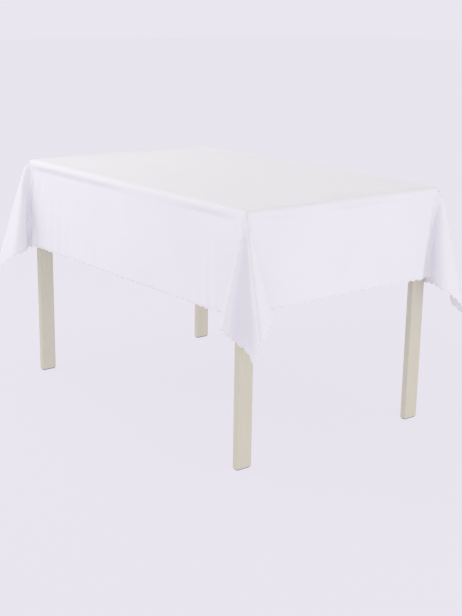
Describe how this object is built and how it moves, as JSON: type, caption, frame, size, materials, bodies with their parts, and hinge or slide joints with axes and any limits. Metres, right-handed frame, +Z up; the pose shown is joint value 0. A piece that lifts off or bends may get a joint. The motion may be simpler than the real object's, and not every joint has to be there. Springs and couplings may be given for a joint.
{
  "type": "tablecloth on a table",
  "caption": "White satin tablecloth with a scalloped hem, lying loose on a rectangular four-legged table and hanging on all four sides with a folded ear at each corner.",
  "frame": {"origin": "on the floor under the middle of the table", "axes": "+X along the table's length towards its right end, +Y from the front long side to the rear one, +Z up"},
  "size_m": [1.3868, 0.945, 0.7616],
  "materials": {
    "white_cloth": "smooth satin weave",
    "hem_thread": "overlocked polyester thread",
    "white_board": "white painted, satin",
    "cream_paint": "cream painted wood, satin",
    "zinc_steel": "bright zinc plated",
    "beech": "bare beech",
    "grey_felt": "pressed felt"
  },
  "bodies": {
    "table": {"tabletop": "white_board", "leg_front_left": "cream_paint", "leg_front_right": "cream_paint", "leg_rear_left": "cream_paint", "leg_rear_right": "cream_paint", "glide_front_left": "grey_felt", "glide_front_right": "grey_felt", "glide_rear_left": "grey_felt", "glide_rear_right": "grey_felt", "apron_front": "cream_paint", "apron_rear": "cream_paint", "apron_left": "cream_paint", "apron_right": "cream_paint", "frame_bolt_front_left_lower": "zinc_steel", "frame_bolt_front_left_upper": "zinc_steel", "frame_bolt_front_right_lower": "zinc_steel", "frame_bolt_front_right_upper": "zinc_steel", "frame_bolt_rear_left_lower": "zinc_steel", "frame_bolt_rear_left_upper": "zinc_steel", "frame_bolt_rear_right_lower": "zinc_steel", "frame_bolt_rear_right_upper": "zinc_steel", "barrel_nut_front_left_lower": "zinc_steel", "barrel_nut_front_left_upper": "zinc_steel", "barrel_nut_front_right_lower": "zinc_steel", "barrel_nut_front_right_upper": "zinc_steel", "barrel_nut_rear_left_lower": "zinc_steel", "barrel_nut_rear_left_upper": "zinc_steel", "barrel_nut_rear_right_lower": "zinc_steel", "barrel_nut_rear_right_upper": "zinc_steel", "dowel_front_left_lower": "beech", "dowel_front_left_upper": "beech", "dowel_front_right_lower": "beech", "dowel_front_right_upper": "beech", "dowel_rear_left_lower": "beech", "dowel_rear_left_upper": "beech", "dowel_rear_right_lower": "beech", "dowel_rear_right_upper": "beech", "angle_front_left": "zinc_steel", "angle_front_right": "zinc_steel", "angle_rear_left": "zinc_steel", "angle_rear_right": "zinc_steel", "board_screw_front_left": "zinc_steel", "board_screw_front_right": "zinc_steel", "board_screw_rear_left": "zinc_steel", "board_screw_rear_right": "zinc_steel", "apron_screw_front_left": "zinc_steel", "apron_screw_front_right": "zinc_steel", "apron_screw_rear_left": "zinc_steel", "apron_screw_rear_right": "zinc_steel"},
    "cloth": {"cloth_panel": "white_cloth", "hem_edging": "hem_thread"}
  },
  "joints": [
    {"name": "cloth_lift", "type": "slide", "parent": "table", "child": "cloth", "axis": [0, 0, 1], "range_m": [0, 0.45]}
  ]
}
